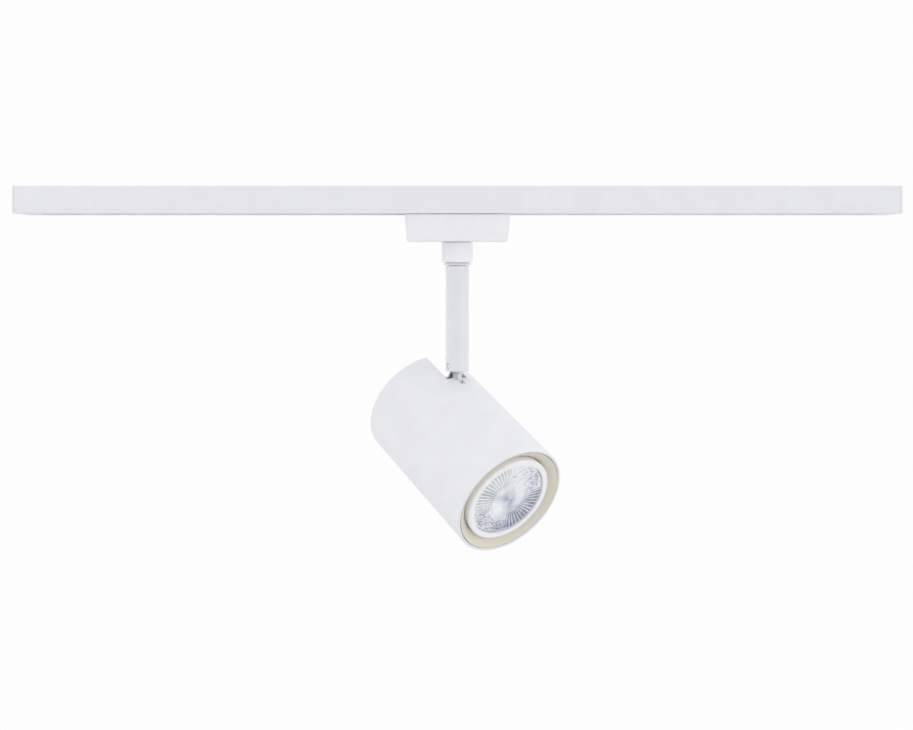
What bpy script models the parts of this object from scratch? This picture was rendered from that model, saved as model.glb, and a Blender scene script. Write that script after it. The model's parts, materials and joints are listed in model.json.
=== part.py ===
"""Track spotlight: a white GU10 spotlight on a short stem, hung from a ceiling rail.

World axes: +X along the rail, -Y towards the room, +Z up, in metres. The origin is the
middle of the rail's ceiling face, straight above the stem, and everything hangs below it.

The moving pieces hang on nested empties, each on its joint's axis:
slide_frame (along the rail), lock_frame (lock lever), pan_frame (stem), tilt_frame (head)
and head_frame (head's own axis, which is also the lamp's bayonet axis).
In pan_frame X points the way the head faces and Y lies along the tilt pivot.
In head_frame X runs from the back rim to the front rim and Z points from the head's axis
towards the tilt pivot.
"""

import math

import bmesh
import bpy
from mathutils import Matrix, Vector

MM = 0.001
GAP = 0.3 * MM

# Rail
RAIL_LENGTH = 478 * MM
RAIL_WIDTH = 34 * MM
RAIL_HEIGHT = 15 * MM
RAIL_WALL = 1.4 * MM
RAIL_WEB = 1.6 * MM
SLOT_WIDTH = 24 * MM
CAP_THICKNESS = 1.1 * MM
FIXING_SPACING = 320 * MM
FIXING_HOLE = 4.6 * MM

# Adapter under the rail
ADAPTER_TOP_LENGTH = 57 * MM
ADAPTER_BOTTOM_LENGTH = 54.6 * MM
ADAPTER_TOP_DEPTH = 30 * MM
ADAPTER_BOTTOM_DEPTH = 28.6 * MM
ADAPTER_BOTTOM = -30 * MM
ADAPTER_FLOOR = 1.7 * MM
BLOCK_HALF_DEPTH = 9.8 * MM
LOCK_X = -12 * MM
LOCK_REACH = 14.2 * MM
LEVER_REACH = 18.5 * MM

# Neck and stem
COLLAR_RADIUS = 8.55 * MM
COLLAR_BOTTOM = -41.4 * MM
BUSH_RADIUS = 7.55 * MM
NIPPLE_RADIUS = 5 * MM
NIPPLE_TOP = -20 * MM
STEM_RADIUS = 6.4 * MM
STEM_BORE = 5.3 * MM
STEM_TOP = -43.1 * MM
STEM_END = -100.8 * MM
PIN_DROP = 2.9 * MM
LEAD_RADIUS = 0.8 * MM

# Head: where the pivot is, and how the head is turned
PIVOT_Z = -111.3 * MM
PIVOT_FORWARD = 25.5 * MM
PIVOT_RISE = 25.9 * MM
PAN = math.radians(-52.5)
TILT = math.radians(29.1)
TWIST = math.radians(25)

HEAD_RADIUS = 32.2 * MM
HEAD_WALL = 1.5 * MM
HEAD_LENGTH = 92.1 * MM
NOTCH_HALF = 6.8 * MM
NOTCH_END = 22.4 * MM
SLIT_HALF = 1.6 * MM
SLIT_END = 28.4 * MM
COVER_NOTCH_FLOOR = 19 * MM
COVER_NOTCH_HALF = 11.5 * MM
TONGUE_THICKNESS = 2.4 * MM
TONGUE_HALF = 2.5 * MM
EYE_RADIUS = 4 * MM
M3_RADIUS = 1.5 * MM
M3_HOLE = 1.8 * MM

# Lamp and its holder, measured along the head's axis
HOLDER_RADIUS = 13 * MM
HOLDER_BACK = 20.3 * MM
HOLDER_FRONT = 36.2 * MM
LAMP_RADIUS = 25 * MM
LAMP_FRONT = 90.9 * MM
LENS_RADIUS = 21.6 * MM
LENS_BACK = LAMP_FRONT - 4.2 * MM
PIN_OFFSET = 5 * MM

# Rotations that lay local shapes along the axes of their frame
FLAT = (0, 0, 0)
FACING_X = (math.pi / 2, 0, math.pi / 2)
FACING_Y = (math.pi / 2, 0, 0)
TURN_X = (0, math.pi / 2, 0)
TURN_Y = (-math.pi / 2, 0, 0)

# name: (colour, roughness, metallic)
FINISHES = {
    "white_paint": ((0.86, 0.86, 0.87), 0.45, 0.0),
    "white_plastic": ((0.88, 0.88, 0.88), 0.5, 0.0),
    "cream_plastic": ((0.82, 0.79, 0.68), 0.5, 0.0),
    "grey_plastic": ((0.62, 0.62, 0.65), 0.5, 0.0),
    "natural_nylon": ((0.80, 0.78, 0.70), 0.45, 0.0),
    "copper": ((0.80, 0.42, 0.27), 0.3, 1.0),
    "brass": ((0.80, 0.62, 0.30), 0.3, 1.0),
    "steel": ((0.60, 0.60, 0.62), 0.3, 1.0),
    "ceramic": ((0.85, 0.83, 0.78), 0.35, 0.0),
    "clear_lens": ((0.80, 0.86, 0.92), 0.08, 0.0),
    "green_board": ((0.05, 0.25, 0.10), 0.5, 0.0),
    "led_yellow": ((0.90, 0.75, 0.20), 0.4, 0.0),
    "brown_lead": ((0.25, 0.12, 0.06), 0.5, 0.0),
    "blue_lead": ((0.08, 0.18, 0.55), 0.5, 0.0),
    "green_yellow_lead": ((0.35, 0.60, 0.10), 0.5, 0.0),
}


# ---------------------------------------------------------------- scene and helpers

def fresh_collection(name):
    collection = bpy.data.collections.new(name)
    bpy.context.scene.collection.children.link(collection)
    return collection


def material(name, finish):
    colour, roughness, metallic = FINISHES[finish]
    made = bpy.data.materials.new(f"{name}_{finish}")
    made.use_nodes = True
    shader = made.node_tree.nodes["Principled BSDF"]
    shader.inputs["Base Color"].default_value = (*colour, 1)
    shader.inputs["Roughness"].default_value = roughness
    shader.inputs["Metallic"].default_value = metallic
    return made


def place(name, data, finish, frame, location, rotation):
    """Object in its frame: a sub-part with its own material, or a cutter where finish is None."""
    made = bpy.data.objects.new(name, data)
    made.parent = frame
    made.location = location
    made.rotation_euler = rotation
    if finish is None:
        cutters.objects.link(made)
        made.hide_render = True
        made.display_type = "WIRE"
    else:
        model.objects.link(made)
        data.materials.append(material(name, finish))
    return made


def empty_frame(name, parent=None, location=(0, 0, 0), rotation=FLAT):
    made = bpy.data.objects.new(name, None)
    made.empty_display_size = 0.01
    made.parent = parent
    made.location = location
    made.rotation_euler = rotation
    model.objects.link(made)
    return made


def block(name, finish, low, high, frame=None):
    """Box between two opposite corners."""
    low = Vector(low)
    high = Vector(high)
    middle = (low + high) / 2
    mesh = bpy.data.meshes.new(name)
    shape = bmesh.new()
    bmesh.ops.create_cube(shape, size=1, matrix=Matrix.Diagonal((*(high - low), 1)))
    shape.to_mesh(mesh)
    shape.free()
    return place(name, mesh, finish, frame, middle, FLAT)


def turned(name, finish, profile, frame=None, location=(0, 0, 0), rotation=FLAT, segments=32):
    """Solid of revolution about local Z. The (radius, height) points run down its outer side."""
    mesh = bpy.data.meshes.new(name)
    edges = [(i, i + 1) for i in range(len(profile) - 1)]
    if profile[0][0] > 0:
        edges.append((len(profile) - 1, 0))
    mesh.from_pydata([(radius, 0, height) for radius, height in profile], edges, [])
    made = place(name, mesh, finish, frame, location, rotation)
    spin = made.modifiers.new("Turn", "SCREW")
    spin.axis = "Z"
    spin.steps = segments
    spin.render_steps = segments
    spin.use_merge_vertices = True
    spin.merge_threshold = 0.00001
    spin.use_smooth_shade = True
    return made


def rod(name, finish, radius, low, high, frame=None, location=(0, 0, 0), rotation=FLAT, segments=20):
    """Plain cylinder about local Z from low to high."""
    profile = [(0, high), (radius, high), (radius, low), (0, low)]
    return turned(name, finish, profile, frame, location, rotation, segments)


def ring(name, finish, outer, inner, low, high, frame=None, segments=32):
    """Plain tube about local Z from low to high."""
    profile = [(outer, high), (outer, low), (inner, low), (inner, high)]
    return turned(name, finish, profile, frame, segments=segments)


def extruded(name, finish, outlines, thickness, frame=None, location=(0, 0, 0), rotation=FLAT):
    """Flat outline, and holes in it, made solid: thickness is along local Z, centred on location."""
    curve = bpy.data.curves.new(name, "CURVE")
    curve.dimensions = "2D"
    curve.fill_mode = "BOTH"
    curve.extrude = thickness / 2
    for points in outlines:
        spline = curve.splines.new("POLY")
        spline.points.add(len(points) - 1)
        for target, (x, y) in zip(spline.points, points):
            target.co = (x, y, 0, 1)
        spline.use_cyclic_u = True
    flat = bpy.data.objects.new(f"{name}_outline", curve)
    model.objects.link(flat)
    bpy.context.view_layer.update()
    graph = bpy.context.evaluated_depsgraph_get()
    mesh = bpy.data.meshes.new_from_object(flat.evaluated_get(graph))
    bpy.data.objects.remove(flat)
    shape = bmesh.new()
    shape.from_mesh(mesh)
    bmesh.ops.remove_doubles(shape, verts=shape.verts, dist=0.000005)
    bmesh.ops.recalc_face_normals(shape, faces=shape.faces)
    shape.to_mesh(mesh)
    shape.free()
    mesh.name = name
    return place(name, mesh, finish, frame, location, rotation)


def lead(name, finish, route, frame):
    """Insulated wire along a smooth route."""
    curve = bpy.data.curves.new(name, "CURVE")
    curve.dimensions = "3D"
    curve.bevel_depth = LEAD_RADIUS
    curve.bevel_resolution = 2
    curve.use_fill_caps = True
    points = smooth_route(route)
    spline = curve.splines.new("POLY")
    spline.points.add(len(points) - 1)
    for target, point in zip(spline.points, points):
        target.co = (*point, 1)
    return place(name, curve, finish, frame, (0, 0, 0), FLAT)


def smooth_route(route, steps=4):
    """Catmull-Rom curve through the route's points."""
    points = [Vector(point) for point in route]
    points = [2 * points[0] - points[1], *points, 2 * points[-1] - points[-2]]
    smooth = []
    for a, b, c, d in zip(points, points[1:], points[2:], points[3:]):
        for step in range(steps):
            t = step / steps
            smooth.append(b + (c - a) * t / 2 + (a - 2.5 * b + 2 * c - d / 2) * t**2
                          + (1.5 * b - a / 2 - 1.5 * c + d / 2) * t**3)
    return [*smooth, points[-2]]


def combine(target, other, operation="DIFFERENCE"):
    change = target.modifiers.new(other.name, "BOOLEAN")
    change.operation = operation
    change.solver = "EXACT"
    change.object = other


def drill(target, radius, low, high, frame=None, location=(0, 0, 0), rotation=FLAT):
    """Round hole about local Z from low to high."""
    cutter = rod(f"{target.name}_hole", None, radius, low, high, frame, location, rotation)
    combine(target, cutter)


def cut_box(target, low, high, frame=None):
    combine(target, block(f"{target.name}_cut", None, low, high, frame))


def arc(radius, start, end, steps, centre=(0, 0)):
    """Points on an arc, both ends included."""
    angles = [start + (end - start) * i / steps for i in range(steps + 1)]
    return [(centre[0] + radius * math.cos(a), centre[1] + radius * math.sin(a)) for a in angles]


def circle(radius, steps=20, centre=(0, 0)):
    return arc(radius, 0, math.tau, steps, centre)[:-1]


def outline(*corners, steps=3):
    """Polygon whose corners are (x, y) or, where rounded, (x, y, radius)."""
    points = []
    for i, corner in enumerate(corners):
        here = Vector(corner[:2])
        if len(corner) == 2:
            points.append(tuple(here))
            continue
        back = (Vector(corners[i - 1][:2]) - here).normalized()
        ahead = (Vector(corners[(i + 1) % len(corners)][:2]) - here).normalized()
        half = back.angle(ahead) / 2
        centre = here + (back + ahead).normalized() * corner[2] / math.sin(half)
        reach = corner[2] / math.tan(half)
        first = here + back * reach - centre
        turn = first.angle_signed(here + ahead * reach - centre)
        start = math.atan2(first.y, first.x)
        points += arc(corner[2], start, start - turn, steps, centre)
    return points


def mirrored(points):
    """The points of one half, then their mirror images across local Y = 0, as one outline."""
    return [*points, *[(x, -y) for x, y in reversed(points)]]


def machine_screw(name, finish, head_radius, head_height, length, frame, location, rotation):
    """M3 screw: its head lies below local Z = 0 and its shank above."""
    edge = 0.35 * MM
    profile = [
        (0, length),
        (M3_RADIUS, length),
        (M3_RADIUS, 0),
        (head_radius, 0),
        (head_radius, -head_height + edge),
        (head_radius - edge, -head_height),
        (0, -head_height),
    ]
    return turned(name, finish, profile, frame, location, rotation, segments=16)


# ---------------------------------------------------------------- rail

def rail_profile():
    """Upturned channel: web, side walls, inward lips at the slot and a rib under each carrier."""
    side = RAIL_WIDTH / 2
    inner = side - RAIL_WALL
    lip_top = -RAIL_HEIGHT + RAIL_WALL
    rib = 1 * MM
    rib_top = -10.7 * MM
    half = [
        (-RAIL_HEIGHT, SLOT_WIDTH / 2),
        (lip_top, SLOT_WIDTH / 2),
        (lip_top, inner),
        (rib_top - 0.8 * MM, inner),
        (rib_top - 0.8 * MM, inner - rib),
        (rib_top, inner - rib),
        (rib_top, inner),
        (-RAIL_WEB, inner),
    ]
    inside = [(y, z) for z, y in mirrored(half)]
    right = outline(
        (0, 0), (side, 0, 0.7 * MM), (side, -RAIL_HEIGHT, 0.7 * MM), (0, -RAIL_HEIGHT))
    left = [(-y, z) for y, z in reversed(right)]
    shape = [*right[:-1], *inside, *left[1:-1]]
    length = RAIL_LENGTH - 2 * (CAP_THICKNESS + GAP)
    profile = extruded("rail_profile", "white_paint", [shape], length, rotation=FACING_X)
    for side_x in (-1, 1):
        x = side_x * FIXING_SPACING / 2
        drill(profile, FIXING_HOLE / 2, -3 * MM, 1 * MM, location=(x, 0, 0))


def conductor_carriers():
    """Plastic channels along both walls, each with a copper conductor in its groove."""
    outer = RAIL_WIDTH / 2 - RAIL_WALL - GAP
    face = SLOT_WIDTH / 2
    top = -RAIL_WEB - GAP
    bottom = -10.4 * MM
    groove_half = 1.4 * MM
    groove_z = -6 * MM
    groove_depth = 2.1 * MM
    length = RAIL_LENGTH - 2 * (CAP_THICKNESS + 2 * GAP)
    for sign, side, pole in ((-1, "front", "live"), (1, "rear", "neutral")):
        shape = [
            (outer, top),
            (outer, bottom),
            (face, bottom),
            (face, groove_z - groove_half),
            (face + groove_depth, groove_z - groove_half),
            (face + groove_depth, groove_z + groove_half),
            (face, groove_z + groove_half),
            (face, top),
        ]
        shape = [(sign * y, z) for y, z in shape]
        extruded(f"conductor_carrier_{side}", "white_plastic", [shape], length, rotation=FACING_X)
        depth = 0.8 * MM
        strip_outer = face + groove_depth - GAP
        low_y, high_y = sorted((sign * strip_outer, sign * (strip_outer - depth)))
        height = groove_half - GAP
        low = (-length / 2, low_y, groove_z - height)
        high = (length / 2, high_y, groove_z + height)
        block(f"conductor_{pole}", "copper", low, high)


def end_caps():
    """Cap plate over each rail end, with a plug between the carriers."""
    side = RAIL_WIDTH / 2
    plug_half = SLOT_WIDTH / 2 - 0.4 * MM
    plug_length = 8 * MM
    for sign, name in ((-1, "left"), (1, "right")):
        plate = outline(
            (-side, 0, 0.7 * MM), (-side, -RAIL_HEIGHT, 0.7 * MM),
            (side, -RAIL_HEIGHT, 0.7 * MM), (side, 0, 0.7 * MM))
        middle = sign * (RAIL_LENGTH - CAP_THICKNESS) / 2
        cap = extruded(f"end_cap_{name}", "white_plastic", [plate], CAP_THICKNESS,
                       location=(middle, 0, 0), rotation=FACING_X)
        ends = sorted((middle, sign * (RAIL_LENGTH / 2 - CAP_THICKNESS - plug_length)))
        plug = block(f"end_cap_{name}_plug", None,
                     (ends[0], -plug_half, -RAIL_HEIGHT + GAP),
                     (ends[1], plug_half, -RAIL_WEB - GAP))
        combine(cap, plug, "UNION")


# ---------------------------------------------------------------- adapter

def adapter_housing(frame):
    """Tapered box, open at the top, with the neck hole and screw holes in its floor."""
    top = -RAIL_HEIGHT - GAP
    half_x = ADAPTER_TOP_LENGTH / 2
    half_y = ADAPTER_TOP_DEPTH / 2
    corner = 3 * MM
    shape = outline((-half_x, -half_y, corner), (half_x, -half_y, corner),
                    (half_x, half_y, corner), (-half_x, half_y, corner), steps=5)
    height = top - ADAPTER_BOTTOM
    middle = (top + ADAPTER_BOTTOM) / 2
    housing = extruded("adapter_housing", "white_plastic", [shape], height, frame, (0, 0, middle))
    for vertex in housing.data.vertices:
        if vertex.co.z < 0:
            vertex.co.x *= ADAPTER_BOTTOM_LENGTH / ADAPTER_TOP_LENGTH
            vertex.co.y *= ADAPTER_BOTTOM_DEPTH / ADAPTER_TOP_DEPTH
    soften = housing.modifiers.new("Soft edges", "BEVEL")
    soften.width = 0.6 * MM
    soften.segments = 2
    soften.limit_method = "ANGLE"
    soften.angle_limit = math.radians(60)
    floor = ADAPTER_BOTTOM + ADAPTER_FLOOR
    cut_box(housing, (-25.8 * MM, -12.8 * MM, floor), (25.8 * MM, 12.8 * MM, 0), frame)
    drill(housing, 7.3 * MM, ADAPTER_BOTTOM - 1 * MM, floor + 1 * MM, frame)
    for sign in (-1, 1):
        x, y = adapter_screw_place(sign)
        sink = [(1.8 * MM, 3 * MM), (1.8 * MM, 1.4 * MM), (3 * MM, 0.2 * MM), (3 * MM, -1 * MM)]
        sink = [(0, sink[0][1]), *sink, (0, sink[-1][1])]
        cutter = turned("adapter_screw_hole", None, sink, frame, (x, y, ADAPTER_BOTTOM), segments=20)
        combine(housing, cutter)
    swing = 4.5 * MM
    cut_box(housing, (-31 * MM, -swing, -18.5 * MM), (LOCK_X + swing, 17 * MM, 0), frame)


def adapter_screw_place(sign):
    return 22.2 * MM, sign * 6.5 * MM


def adapter_top_block(frame):
    """Insulating block: its upper half lies in the rail, its leg stands on the housing's floor."""
    half = BLOCK_HALF_DEPTH
    made = block("adapter_top_block", "white_plastic",
                 (-26.9 * MM, -half, -10.6 * MM), (25.2 * MM, half, -3 * MM), frame)
    waist = block("adapter_top_block_waist", None,
                  (3 * MM, -half, -18.6 * MM), (25.2 * MM, half, -8 * MM), frame)
    combine(made, waist, "UNION")
    leg = block("adapter_top_block_leg", None,
                (19.2 * MM, -half, -27.9 * MM), (25.2 * MM, half, -16 * MM), frame)
    combine(made, leg, "UNION")
    drill(made, 2.3 * MM, -12 * MM, -6.2 * MM, frame, (LOCK_X, 0, 0))
    for sign in (-1, 1):
        x, y = adapter_screw_place(sign)
        drill(made, M3_HOLE, -29 * MM, -19 * MM, frame, (x, y, 0))


def adapter_screws(frame):
    """Countersunk screws through the floor into the block's leg."""
    for sign, side in ((-1, "front"), (1, "rear")):
        x, y = adapter_screw_place(sign)
        profile = [
            (0, 10.2 * MM),
            (M3_RADIUS, 10.2 * MM),
            (M3_RADIUS, 1.5 * MM),
            (2.7 * MM, 0.3 * MM),
            (2.7 * MM, 0.1 * MM),
            (0, 0.1 * MM),
        ]
        turned(f"adapter_screw_{side}", "steel", profile, frame, (x, y, ADAPTER_BOTTOM), segments=16)


def contacts(frame):
    """Spring strips beside the block, with noses that reach into the conductors' grooves."""
    inner = BLOCK_HALF_DEPTH + GAP
    outer = inner + 0.5 * MM
    nose = SLOT_WIDTH / 2 + 0.7 * MM
    shape = [
        (outer, -24 * MM),
        (outer, -8 * MM),
        (nose, -6.3 * MM),
        (nose, -5.7 * MM),
        (outer, -4 * MM),
        (inner, -4 * MM),
        (nose - 0.6 * MM, -5.8 * MM),
        (nose - 0.6 * MM, -6.2 * MM),
        (inner, -8.2 * MM),
        (inner, -24 * MM),
    ]
    for sign, pole in ((-1, "live"), (1, "neutral")):
        mine = [(sign * y, z) for y, z in shape]
        extruded(f"contact_{pole}", "copper", [mine], 6 * MM, frame, (13 * MM, 0, 0), FACING_X)


def earth_spring(frame):
    """Arched strip that presses on the rail's web."""
    low = -2.7 * MM
    rise = 0.5 * MM
    top = [(-6 * MM, low), (-3 * MM, low + rise), (3 * MM, low + rise), (6 * MM, low)]
    shape = [*top, *[(x, z + GAP) for x, z in reversed(top)]]
    extruded("earth_spring", "copper", [shape], 5 * MM, frame, (14 * MM, 0, 0), FACING_Y)


def terminal_block(frame):
    """Three-way terminal with its wire entries towards the neck."""
    made = block("terminal_block", "white_plastic",
                 (8.7 * MM, -9.5 * MM, -25.9 * MM), (18.8 * MM, 9.5 * MM, -18.9 * MM), frame)
    for row in (-1, 0, 1):
        drill(made, 1.3 * MM, 7 * MM, 14 * MM, frame, (0, row * 6 * MM, -22.5 * MM), TURN_X)


def lock_lever_and_cam(frame):
    """Cam wing that turns under the rail's carriers, and the lever on its shaft."""
    tip = 4 * MM
    wing = outline((-LOCK_REACH, -tip, tip - 0.1 * MM), (LOCK_REACH, -tip, tip - 0.1 * MM),
                   (LOCK_REACH, tip, tip - 0.1 * MM), (-LOCK_REACH, tip, tip - 0.1 * MM))
    wing = [(-y, x) for x, y in wing]
    cam = extruded("lock_cam", "steel", [wing], 2.2 * MM, frame, (0, 0, -12 * MM))
    shaft = rod("lock_cam_shaft", None, 3.5 * MM, -15.3 * MM, -12 * MM, frame)
    combine(cam, shaft, "UNION")
    spigot = rod("lock_cam_spigot", None, 2 * MM, -12 * MM, -6.5 * MM, frame)
    combine(cam, spigot, "UNION")
    drill(cam, M3_HOLE, -16 * MM, -9.5 * MM, frame)
    hub = 5.5 * MM
    arm = 4 * MM
    spread = math.asin(arm / hub)
    shape = arc(hub, math.pi / 2 + spread, math.pi * 2.5 - spread, 16)
    shape += arc(arm, 0, math.pi, 6, (0, LEVER_REACH - arm))
    lever = extruded("lock_lever", "white_plastic", [shape, circle(M3_HOLE, 16)], 2.6 * MM,
                     frame, (0, 0, -16.9 * MM))
    for rib in range(3):
        y = LEVER_REACH - (2.4 + 1.2 * rib) * MM
        cut_box(lever, (-3 * MM, y - GAP, -20 * MM), (3 * MM, y + GAP, -17.8 * MM), frame)
    machine_screw("lever_screw", "steel", 2.8 * MM, 1.8 * MM, 8.5 * MM,
                  frame, (0, 0, -18.5 * MM), FLAT)


# ---------------------------------------------------------------- neck and stem

def neck_collar(frame):
    """Round neck under the adapter; its spigot passes through the housing's floor."""
    top = ADAPTER_BOTTOM - GAP
    edge = 0.6 * MM
    profile = [
        (7 * MM, ADAPTER_BOTTOM + 2.3 * MM),
        (7 * MM, top),
        (COLLAR_RADIUS, top),
        (COLLAR_RADIUS, COLLAR_BOTTOM + edge),
        (COLLAR_RADIUS - edge, COLLAR_BOTTOM),
        (6.6 * MM, COLLAR_BOTTOM),
        (6.6 * MM, ADAPTER_BOTTOM + 2.3 * MM),
    ]
    turned("neck_collar", "white_plastic", profile, frame)


def neck_bush(frame):
    """Flanged plain bearing between the collar and the turning stem."""
    flange_top = COLLAR_BOTTOM - GAP
    flange_bottom = STEM_TOP + GAP
    bore = NIPPLE_RADIUS + GAP
    profile = [
        (6.3 * MM, -28 * MM),
        (6.3 * MM, flange_top),
        (BUSH_RADIUS, flange_top),
        (BUSH_RADIUS, flange_bottom),
        (bore, flange_bottom),
        (bore, -28 * MM),
    ]
    turned("neck_bush", "grey_plastic", profile, frame)


def pan_stop_peg(frame):
    """Peg on the housing's floor, opposite the stop washer's tab."""
    angle = PAN + math.pi
    reach = 10.4 * MM
    spot = (reach * math.cos(angle), reach * math.sin(angle), 0)
    rod("pan_stop_peg", "white_plastic", 0.8 * MM, -28 * MM, -25.8 * MM, frame, spot, segments=12)


def pan_stack(frame):
    """Stop washer, spring washer and nut that hold the stem's nipple up in the adapter."""
    bore = NIPPLE_RADIUS + GAP
    tab_half = 0.7 * MM
    washer = 8.2 * MM
    spread = math.asin(tab_half / washer)
    shape = arc(washer, spread, math.tau - spread, 28)
    shape += [(11.4 * MM, -tab_half), (11.4 * MM, tab_half)]
    extruded("pan_stop_washer", "steel", [shape, circle(bore, 24)], 1 * MM, frame, (0, 0, -26.8 * MM))
    ring("pan_spring_washer", "steel", 8 * MM, bore, -26 * MM, -25.2 * MM, frame, 24)
    hexagon = circle(8.1 * MM, 6)
    extruded("pan_nut", "brass", [hexagon, circle(bore, 24)], 3.5 * MM, frame, (0, 0, -23.15 * MM))
    ring("stem_nipple", "steel", NIPPLE_RADIUS, 3.2 * MM, -58 * MM, NIPPLE_TOP, frame, 24)


def stem_tube(frame):
    """Round tube with a cross hole for the knuckle's pin."""
    edge = 0.3 * MM
    profile = [
        (STEM_RADIUS - edge, STEM_TOP),
        (STEM_RADIUS, STEM_TOP - edge),
        (STEM_RADIUS, STEM_END + edge),
        (STEM_RADIUS - edge, STEM_END),
        (STEM_BORE, STEM_END),
        (STEM_BORE, STEM_TOP),
    ]
    tube = turned("stem_tube", "white_paint", profile, frame, segments=40)
    spot = (0, 0, STEM_END + PIN_DROP)
    drill(tube, 1.5 * MM, -9 * MM, 9 * MM, frame, spot, TURN_Y)


def stem_knuckle(frame):
    """Flat bar in the stem's foot that narrows to the pivot's tongue and eye."""
    bar_half = 4.45 * MM
    bar = extruded("stem_knuckle", "white_paint",
                   [outline((-bar_half, STEM_END), (bar_half, STEM_END),
                            (bar_half, -88 * MM), (-bar_half, -88 * MM))],
                   4.4 * MM, frame, rotation=FACING_Y)
    shoulder = 4.2 * MM
    flare = math.acos(TONGUE_HALF / EYE_RADIUS)
    shape = [
        (-TONGUE_HALF, STEM_END - 2 * MM),
        (-shoulder, STEM_END),
        (-shoulder, STEM_END + 2 * MM),
        (shoulder, STEM_END + 2 * MM),
        (shoulder, STEM_END),
        (TONGUE_HALF, STEM_END - 2 * MM),
    ]
    shape += arc(EYE_RADIUS, flare, -math.pi - flare, 18, (0, PIVOT_Z))
    tongue = extruded("stem_knuckle_tongue", None, [shape], TONGUE_THICKNESS, frame, rotation=FACING_Y)
    combine(bar, tongue, "UNION")
    drill(bar, 1.5 * MM, -9 * MM, 9 * MM, frame, (0, 0, STEM_END + PIN_DROP), TURN_Y)
    drill(bar, M3_HOLE, -9 * MM, 9 * MM, frame, (0, 0, PIVOT_Z), TURN_Y)


def knuckle_pin(frame):
    """Pin across the stem and the knuckle, painted over with the stem."""
    radius = 1.2 * MM
    edge = 0.2 * MM
    end = STEM_RADIUS - 0.15 * MM
    profile = [
        (0, end),
        (radius - edge, end),
        (radius, end - edge),
        (radius, -end + edge),
        (radius - edge, -end),
        (0, -end),
    ]
    spot = (0, 0, STEM_END + PIN_DROP)
    turned("knuckle_pin", "white_paint", profile, frame, spot, TURN_Y, 20)


def stem_leads(frame):
    """Three leads from the nipple's mouth, down the stem and out beside the knuckle."""
    poles = (
        ("live", "brown_lead", 90, 2.4 * MM, 3.3 * MM),
        ("neutral", "blue_lead", 210, -2.4 * MM, -3.3 * MM),
        ("earth", "green_yellow_lead", 330, 2.4 * MM, -3.3 * MM),
    )
    circle_radius = 1.9 * MM
    for pole, finish, degrees, x, y in poles:
        angle = math.radians(degrees)
        near = (circle_radius * math.cos(angle), circle_radius * math.sin(angle))
        route = [(*near, z) for z in (NIPPLE_TOP - GAP, -40 * MM, -60 * MM, -72 * MM)]
        route += [(x, y, z) for z in (-86 * MM, -93 * MM, STEM_END + GAP)]
        lead(f"stem_lead_{pole}", finish, route, frame)


# ---------------------------------------------------------------- head

def head_shell(frame):
    """Round tube, open at both ends, with the stem's notch and the tongue's slit at the back."""
    edge = 0.4 * MM
    inner = HEAD_RADIUS - HEAD_WALL
    profile = [
        (HEAD_RADIUS - edge, HEAD_LENGTH),
        (HEAD_RADIUS, HEAD_LENGTH - edge),
        (HEAD_RADIUS, edge),
        (HEAD_RADIUS - edge, 0),
        (inner, 0),
        (inner, HEAD_LENGTH),
    ]
    shell = turned("head_shell", "white_paint", profile, frame, rotation=TURN_X, segments=72)
    shape = outline(
        (-2 * MM, -NOTCH_HALF), (NOTCH_END, -NOTCH_HALF, 0.8 * MM), (NOTCH_END, -SLIT_HALF),
        (SLIT_END, -SLIT_HALF, 0.5 * MM), (SLIT_END, SLIT_HALF, 0.5 * MM), (NOTCH_END, SLIT_HALF),
        (NOTCH_END, NOTCH_HALF, 0.8 * MM), (-2 * MM, NOTCH_HALF))
    cutter = extruded("head_notch", None, [shape], 16 * MM, frame, (0, 0, 28 * MM))
    combine(shell, cutter)


def cover_screw_place(sign):
    return sign * 23.5 * MM


def back_cover(frame):
    """Disc that closes the tube's back, open at the top for the stem and for warm air."""
    radius = HEAD_RADIUS - HEAD_WALL - GAP
    side = COVER_NOTCH_HALF
    gate = math.acos(side / radius)
    shape = arc(radius, math.pi - gate, math.tau + gate, 48)
    shape += [(side, COVER_NOTCH_FLOOR), (-side, COVER_NOTCH_FLOOR)]
    holes = [circle(M3_HOLE, 16, (cover_screw_place(sign), 0)) for sign in (-1, 1)]
    extruded("back_cover", "white_paint", [shape, *holes], 1.2 * MM, frame, (2.6 * MM, 0, 0), FACING_X)
    for sign, name in ((-1, "left"), (1, "right")):
        machine_screw(f"cover_screw_{name}", "steel", 2.8 * MM, 1.4 * MM, 6.3 * MM,
                      frame, (1.7 * MM, cover_screw_place(sign), 0), TURN_X)


def lamp_bracket(frame):
    """Folded strap that carries the lamp holder and takes the cover's screws."""
    reach = 27.4 * MM
    sheet = 1.5 * MM
    front = HOLDER_BACK - GAP
    back = 3.5 * MM
    half = [
        (front, reach),
        (back, reach),
        (back, reach - 8 * MM),
        (back + sheet, reach - 8 * MM),
        (back + sheet, reach - sheet),
        (front - sheet, reach - sheet),
    ]
    bracket = extruded("lamp_bracket", "steel", [mirrored(half)], 22 * MM, frame)
    drill(bracket, 4.5 * MM, 15 * MM, 23 * MM, frame, rotation=TURN_X)
    for sign in (-1, 1):
        drill(bracket, M3_HOLE, 15 * MM, 23 * MM, frame, (0, 0, sign * 8 * MM), TURN_X)
        drill(bracket, M3_HOLE, 2 * MM, 7 * MM, frame, (0, cover_screw_place(sign), 0), TURN_X)
    for sign, name in ((-1, "lower"), (1, "upper")):
        machine_screw(f"holder_screw_{name}", "steel", 2.6 * MM, 1.5 * MM, 7.5 * MM,
                      frame, (front - sheet - GAP, 0, sign * 8 * MM), TURN_X)


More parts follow.
